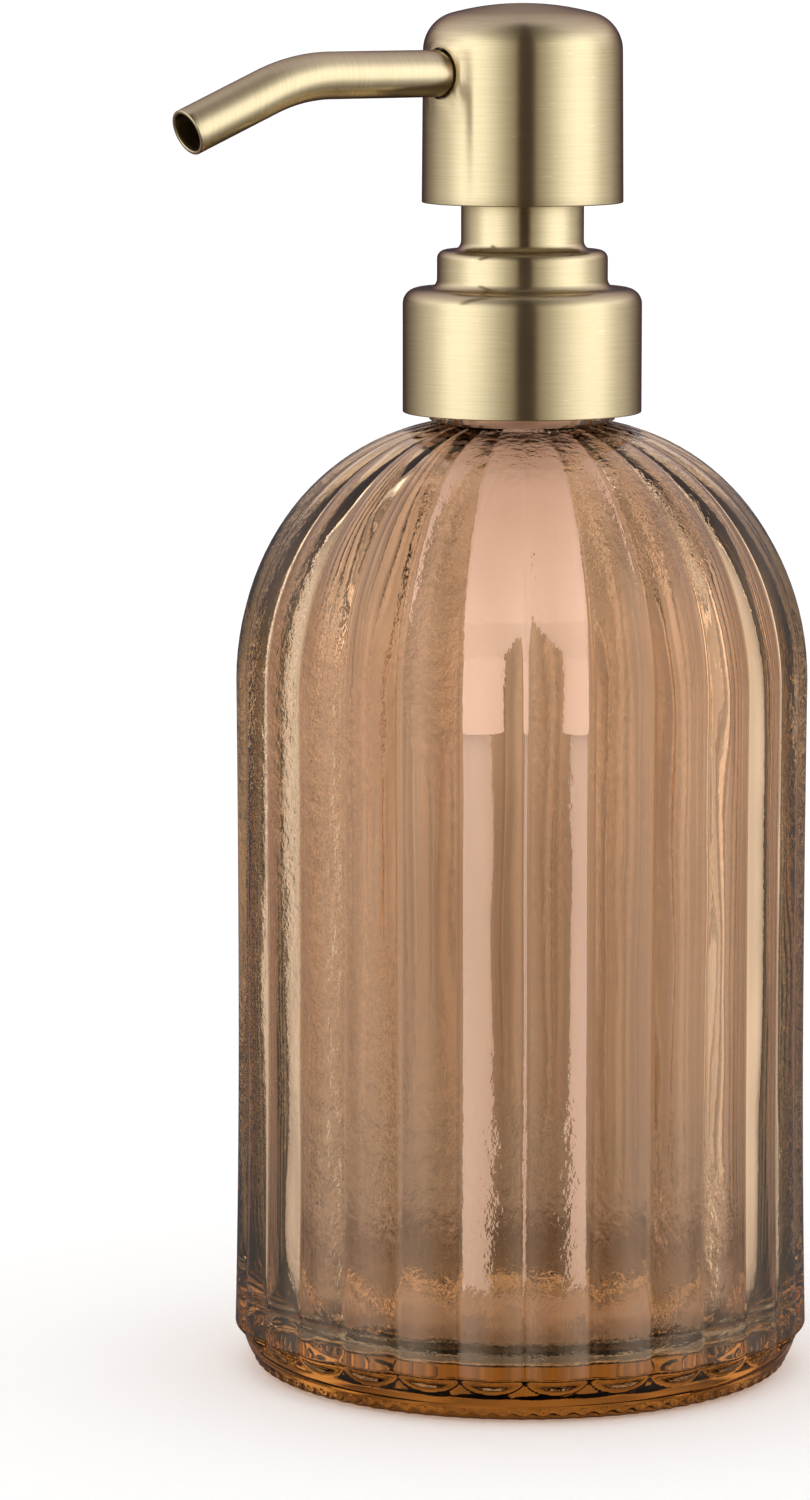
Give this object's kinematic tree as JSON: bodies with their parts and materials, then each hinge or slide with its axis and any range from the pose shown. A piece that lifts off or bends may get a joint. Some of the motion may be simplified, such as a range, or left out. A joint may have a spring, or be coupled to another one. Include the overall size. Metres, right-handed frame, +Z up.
{
  "type": "soap pump dispenser",
  "caption": "Free-standing soap dispenser: ribbed amber glass bottle with a screw-on metal collar, a press-down pump head and a thin bent spout.",
  "frame": {"origin": "centre of the underside, level with the ring that the bottle stands on", "axes": "+Z up along the pump's axis, -Y the way the spout points"},
  "size_m": [0.0752, 0.0895, 0.178],
  "materials": {
    "amber_glass": "clear amber, glossy, pressed ribs",
    "gold_metal": "champagne gold, fine brushed, satin",
    "white_plastic": "moulded, plain",
    "clear_plastic": "translucent, extruded",
    "grey_rubber": "soft, dull",
    "bright_steel": "drawn wire and polished balls"
  },
  "bodies": {
    "bottle": {"glass_bottle": "amber_glass"},
    "pump_body": {"pump_cylinder": "white_plastic", "stem_guide": "white_plastic", "stem_seal": "grey_rubber", "spring_seat": "white_plastic", "neck_gasket": "grey_rubber", "dip_tube": "clear_plastic", "return_spring": "bright_steel"},
    "closure": {"collar_shell": "gold_metal", "closure_cap": "white_plastic"},
    "plunger": {"plunger_stem": "white_plastic", "piston_cup": "white_plastic", "valve_seat": "white_plastic"},
    "head": {"head_shell": "gold_metal", "head_core": "white_plastic", "spout_tube": "gold_metal", "spout_seal": "grey_rubber"},
    "inlet_valve": {"inlet_ball": "bright_steel"},
    "outlet_valve": {"outlet_ball": "bright_steel"}
  },
  "joints": [
    {"name": "pump_rise", "type": "slide", "parent": "bottle", "child": "pump_body", "axis": [0, 0, 1], "range_m": [0, 0.00529]},
    {"name": "closure_turn", "type": "hinge", "parent": "pump_body", "child": "closure", "pos_m": [0, 0, 0.1335], "axis": [0, 0, 1], "range_deg": [0, 450]},
    {"name": "head_press", "type": "slide", "parent": "pump_body", "child": "plunger", "axis": [0, 0, -1], "range_m": [0, 0.0105], "stiffness_N_per_m": 600, "springref_m": -0.01, "deforming": ["return_spring"]},
    {"name": "head_swivel", "type": "hinge", "parent": "plunger", "child": "head", "pos_m": [0, 0, 0.1692], "axis": [0, 0, 1], "continuous": true},
    {"name": "inlet_lift", "type": "slide", "parent": "pump_body", "child": "inlet_valve", "axis": [0, 0, 1], "range_m": [0, 0.0015]},
    {"name": "outlet_lift", "type": "slide", "parent": "plunger", "child": "outlet_valve", "axis": [0, 0, 1], "range_m": [0, 0.0015]}
  ],
  "couplings": [
    {"joint": "closure_turn", "follows": "pump_rise", "rad_per_m": 1484.2}
  ]
}
